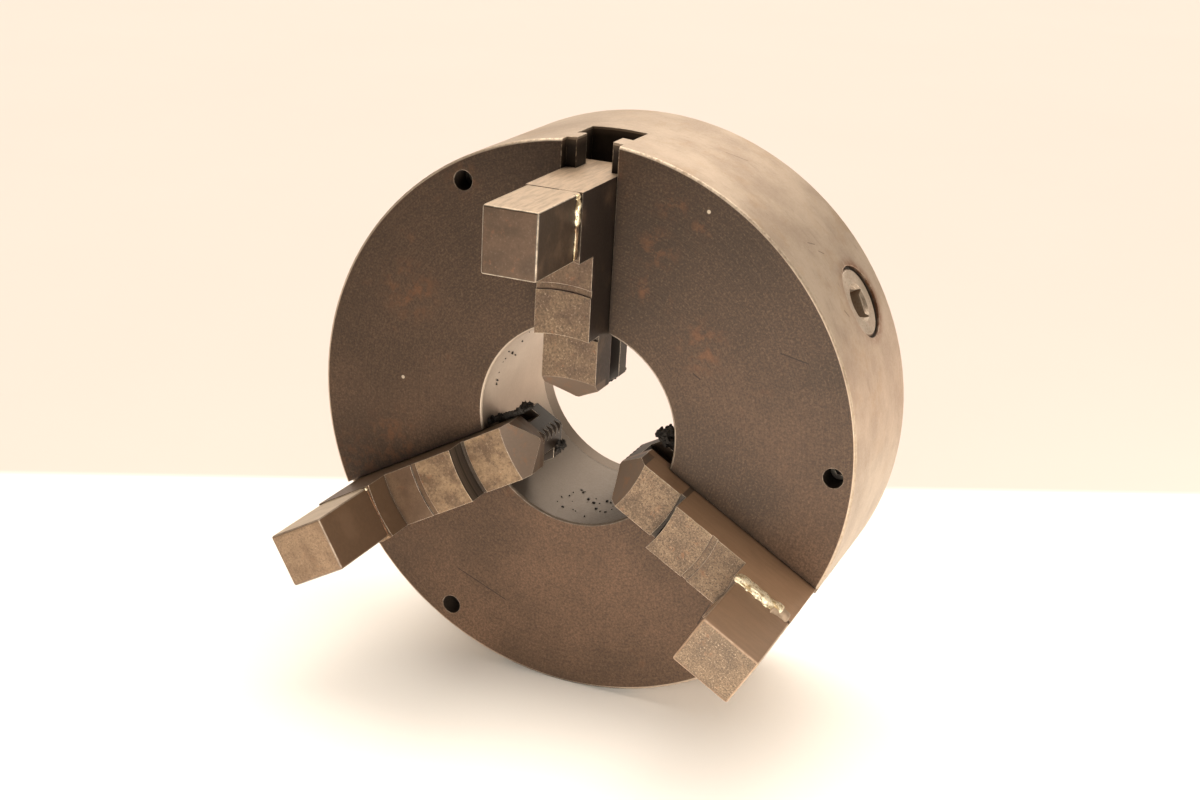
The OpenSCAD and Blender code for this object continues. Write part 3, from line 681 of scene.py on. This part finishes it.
def weld_beads():
    """The beads that hold the blocks on the jaws, and the ground seams between them."""
    gold = weld_metal("weld_gold", (0.50, 0.37, 0.20), (0.98, 0.88, 0.66), 0.24)
    burnt = weld_metal("weld_burnt", (0.10, 0.062, 0.038), (0.30, 0.20, 0.12), 0.4)
    ground = worn_metal("weld_ground", (0.30, 0.22, 0.155), (0.50, 0.38, 0.27), 0.45, 0.38)
    wall = BLOCK_HALF_W + 0.2

    def add(name, k, material, *shapes):
        mesh = bmesh.new()
        for make, args, options in shapes:
            make(mesh, *args, **options)
        finished(name, mesh, jaw_place(k), material, f"jaw_{k}")

    near, far = reach("jaw_extension_1", 1)
    level = STEP_H + 4.2
    add("weld_1_outer", 1, gold,
        (bead, ((far - 17.5, -wall, level), (far - 1.5, -wall, level - 0.4), 1.5, 2.5, 0.22, 1.3),
         dict(taper=0.28)),
        (lump, ((far - 1.6, -wall + 0.3, level), (1.5, 1.3, 2.5), 3.3), dict(jagged=0.3)))
    add("weld_1_inner", 1, burnt,
        (bead, ((near + 1, -wall, level + 0.4), (far - 15, -wall, level), 0.7, 2.0, 0.35, 2.7), {}))
    lip = -wall - 0.25
    add("weld_1_lip", 1, gold,
        (bead, ((near + 1, lip, level + 2.4), (far - 19, lip, level + 1.9), 0.4, 0.35, 0.9, 5.1), {}))
    add("seam_1_end", 1, ground, end_seam(far, -2, 6.6))

    near, far = reach("jaw_extension_3", 3)
    level = STEP_H - 2
    add("weld_3", 3, gold,
        (bead, ((near - 0.5, wall, level - 0.3), (far - 6, wall, level), 1.7, 5.0, 0.16, 4.1),
         dict(rings=90, taper=0.06)),
        (lump, ((near + 0.6, wall - 0.2, level), (2.6, 1.7, 4.6), 6.2), dict(jagged=0.25)),
        (lump, ((near + 12, wall + 0.3, level + 1.5), (5.5, 1.7, 2.8), 9.4), dict(jagged=0.25)),
        (lump, ((far - 11, wall + 0.2, level - 0.5), (4.5, 1.6, 3.4), 2.9), dict(jagged=0.25)))
    root = (near - 0.8, wall - 1.8, STEP_H - 17)
    add("weld_3_root", 3, gold,
        (bead, (root, (near - 0.6, wall - 0.6, STEP_H - 1), 0.9, 0.9, 0.5, 7.3), {}))
    flat = wall - 0.2
    add("weld_3_ground", 3, ground,
        (bead, ((far - 13, flat, level + 0.6), (far - 1.2, flat, level + 0.2), 1.3, 5.2, 0.12, 8.8), {}),
        end_seam(far, SEAM_REACH, 9.6))

    near, far = reach("jaw_extension_2", 2)
    edge = BLOCK_HALF_W - 1
    rusty = weld_metal("weld_rusty", (0.11, 0.052, 0.030), (0.24, 0.125, 0.070), 0.5)
    seam = STEP_H + 0.2
    add("weld_2_seam", 2, rusty,
        (bead, ((near, -edge, seam), (near, edge, seam), 0.35, 0.5, 0.5, 7.7), dict(taper=0.05)))
    upper = -BLOCK_HALF_W + 0.3
    add("seam_2_end", 2, ground,
        end_seam(far, SEAM_REACH, 1.9),
        (bead, ((near + 0.5, upper, STEP_H), (far - 1, upper, STEP_H), 0.75, 1.7, 0.1, 2.2), {}))
    add("weld_2_side", 2, burnt,
        (bead, ((near - 0.3, wall, STEP_H - 2), (far - 8, wall, STEP_H + 1), 1.2, 2.3, 0.5, 8.9), {}),
        (lump, ((near + 0.6, wall - 0.3, STEP_H + 0.4), (2.0, 1.3, 2.4), 4.4), dict(jagged=0.4)))
    add("weld_2_spot", 2, gold,
        (lump, ((near + 0.2, -edge - 0.2, STEP_H + 0.6), (0.9, 0.8, 1.0), 1.1), dict(jagged=0.3)))


# How far a clot stays from the plane of a jaw's flank
FLANK_GAP = 0.45


def keep_clear(spot, on_jaw):
    """Trims a point of a clot, in a jaw's millimetres, so that the clot meets no flank as the jaws move."""
    sign = 1 if spot.y > 0 else -1
    if on_jaw:
        spot.y = sign * min(abs(spot.y), JAW_HALF_W - FLANK_GAP)
        spot.z = max(-SLOT_FLOOR, min(-TONGUE_BACK, spot.z))
    else:
        spot.y = sign * max(abs(spot.y), JAW_HALF_W + FLANK_GAP)


def clots():
    """Oily swarf beside the jaws, trimmed clear of their flanks; four clots ride on the body with meshes of
    their own.
    """
    black = grease()
    draw = random.Random(11)

    def cluster(name, k, body, start, end, spread, size, count):
        mesh = bmesh.new()
        start, end = Vector(start), Vector(end)
        for i in range(count):
            t = (i + 0.5) / count
            centre = start.lerp(end, t) + Vector([s * draw.uniform(-1, 1) for s in spread])
            extent = [size * draw.uniform(0.6, 1.25) for _ in range(3)]
            lump(mesh, centre, extent, draw.uniform(0, 40), jagged=0.8)
        for vert in mesh.verts:
            keep_clear(vert.co, on_jaw=body.startswith("jaw"))
        finished(name, mesh, jaw_place(k), black, body)

    side = JAW_HALF_W + 2.3
    cluster("swarf_2", 2, "body", (33, -side, -5), (55, -side, -10), (1.0, 0.3, 3.0), 1.5, 18)
    cluster("clump_2", 2, "body", (26, -side, -7), (33, -side, -9), (1.4, 0.4, 3.5), 2.0, 16)
    cluster("drip_2", 2, "jaw_2", (26, 10, -23), (30, 12, -26), (1.0, 1.2, 2.4), 1.5, 12)
    cluster("swarf_3", 3, "body", (39, side + 2.4, -20), (52, side + 1.0, -24), (1.5, 1.6, 5.5), 2.5, 22)
    cluster("peak_3", 3, "body", (40, side + 6.0, -18), (43, side + 3.0, -22), (0.8, 1.0, 3.0), 1.6, 9)
    cluster("rear_flange_1", 1, "jaw_1", (19.5, -7, -28), (26.5, -14, -28), (0.6, 0.6, 4.5), 0.9, 26)
    for name, k in (("swarf_2", 2), ("clump_2", 2), ("swarf_3", 3), ("peak_3", 3)):
        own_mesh(bpy.data.objects[name])


def bore_chips():
    """Flakes of swarf that lie in the bore."""
    mesh = bmesh.new()
    draw = random.Random(5)
    groups = [(-108, -68, 10, 42, 34), (135, 172, 10, 32, 10)]
    for low, high, near, deep, count in groups:
        for _ in range(count):
            angle = math.radians(draw.uniform(low, high))
            size = draw.uniform(0.35, 1.2)
            r = BORE_R - 0.25 * size
            centre = (r * math.cos(angle), FRONT + draw.uniform(near, deep), r * math.sin(angle))
            lump(mesh, centre, [size * draw.uniform(0.5, 1.1) for _ in range(3)], draw.uniform(0, 40), 1, 0.9)
    finished("bore_chips", mesh, Matrix.Scale(MM, 4), bpy.data.materials["grease"], "body")


# ---- Stage ----

# The camera was fitted to the chuck's rims and bore; its roll is in degrees
CAMERA_PLACE = (0.3581, -0.9393, 0.3488)
CAMERA_TARGET = (0.0016, -0.0701, 0.0062)
CAMERA_ROLL = 3.24
CAMERA_LENS = 53.70
# The line on the table behind the chuck: a point on it, and the direction to its far side in degrees from +X
TABLE_LINE = (-0.057, 0.200, 0)
TABLE_LINE_ANGLE = 118


def aimed(place, target):
    """Turn that points an object's -Z from a place to a target."""
    return (Vector(target) - Vector(place)).to_track_quat("-Z", "Y")


def add_camera():
    data = bpy.data.cameras.new("camera")
    data.lens = CAMERA_LENS
    camera = bpy.data.objects.new("camera", data)
    turn = aimed(CAMERA_PLACE, CAMERA_TARGET).to_matrix().to_4x4()
    roll = Matrix.Rotation(math.radians(CAMERA_ROLL), 4, "Z")
    camera.matrix_world = Matrix.Translation(CAMERA_PLACE) @ turn @ roll
    bpy.context.scene.collection.objects.link(camera)
    bpy.context.scene.camera = camera


def add_floor():
    """A pale table top, duller and warmer beyond a line behind the chuck, and darker far in front of it."""
    mesh = bpy.data.meshes.new("floor")
    half = 9.0
    corners = [(-half, -half), (half, -half), (half, half), (-half, half)]
    mesh.from_pydata([(x, y, FLOOR_Z) for x, y in corners], [], [(0, 1, 2, 3)])
    floor = bpy.data.objects.new("floor", mesh)
    bpy.context.scene.collection.objects.link(floor)
    paint = Paint("floor")
    where = paint.coords.outputs["Object"]
    angle = math.radians(TABLE_LINE_ANGLE)
    away = (math.cos(angle), math.sin(angle), 0)
    beyond = paint.vector("DOT_PRODUCT", paint.vector("SUBTRACT", where, TABLE_LINE), away, out=1)
    cloud = paint.noise(where, 3.0, 3)
    near = paint.mix(cloud, (0.93, 0.915, 0.89), (0.96, 0.945, 0.92))
    wall = paint.mix(cloud, (0.72, 0.610, 0.570), (0.74, 0.630, 0.590))
    shade = paint.band(paint.split(where)[1], -0.5, -1.0, 0.0, 0.6)
    near = paint.mix(shade, near, (0.10, 0.09, 0.08))
    color = paint.mix(paint.band(beyond, -0.004, 0.01), near, wall)
    mesh.materials.append(paint.finish(color, 0.75, paint.bump(cloud, 0.05, 1.0)))


def add_light(name, kind, place, target, power, color, **size):
    data = bpy.data.lights.new(name, kind)
    data.energy = power
    data.color = color
    for key, value in size.items():
        setattr(data, key, value)
    light = bpy.data.objects.new(name, data)
    light.location = place
    light.rotation_mode = "QUATERNION"
    light.rotation_quaternion = aimed(place, target)
    light.visible_camera = False
    bpy.context.scene.collection.objects.link(light)


def add_world(color, front, back):
    """Soft light from all round, weaker from in front of the chuck than from behind it."""
    world = bpy.data.worlds.new("world")
    world.use_nodes = True
    tree = world.node_tree
    coords = tree.nodes.new("ShaderNodeTexCoord")
    split = tree.nodes.new("ShaderNodeSeparateXYZ")
    fade = tree.nodes.new("ShaderNodeMapRange")
    tree.links.new(coords.outputs["Generated"], split.inputs[0])
    tree.links.new(split.outputs["Y"], fade.inputs["Value"])
    for name, value in (("From Min", -0.6), ("From Max", 0.4), ("To Min", front), ("To Max", back)):
        fade.inputs[name].default_value = value
    background = tree.nodes["Background"]
    background.inputs["Color"].default_value = (*color, 1)
    tree.links.new(fade.outputs[0], background.inputs["Strength"])
    bpy.context.scene.world = world


def add_lights():
    """A wide sun from above and behind, with weak lights in front, by the table and right of the rim."""
    warm = (1.0, 0.90, 0.78)
    centre = (0, -0.06, -0.05)
    add_light("sky", "SUN", (-0.2, 0.5, 1.2), (0, 0, 0), 4.2, warm, angle=math.radians(80))
    add_light("front", "AREA", (-0.5, -1.8, 0.9), centre, 0.2, warm, shape="DISK", size=1.4)
    near_table = (0.10, -0.42, FLOOR_Z + 0.03)
    add_light("bounce", "AREA", near_table, (0, 0, -0.15), 2.7, warm, shape="DISK", size=0.4)
    add_light("right", "AREA", (0.85, 0.18, -0.02), (0.1, -0.05, -0.05), 3.4, warm, shape="DISK", size=0.6)
    add_world(warm, 0.04, 0.42)
    bpy.context.scene.view_settings.view_transform = "Standard"


add_camera()
add_floor()
add_lights()
paint_nodes()
for k in JAWS:
    soften(f"jaw_{k}", 0.6)
    soften(f"jaw_extension_{k}", 1.4, 3)
weld_beads()
clots()
bore_chips()
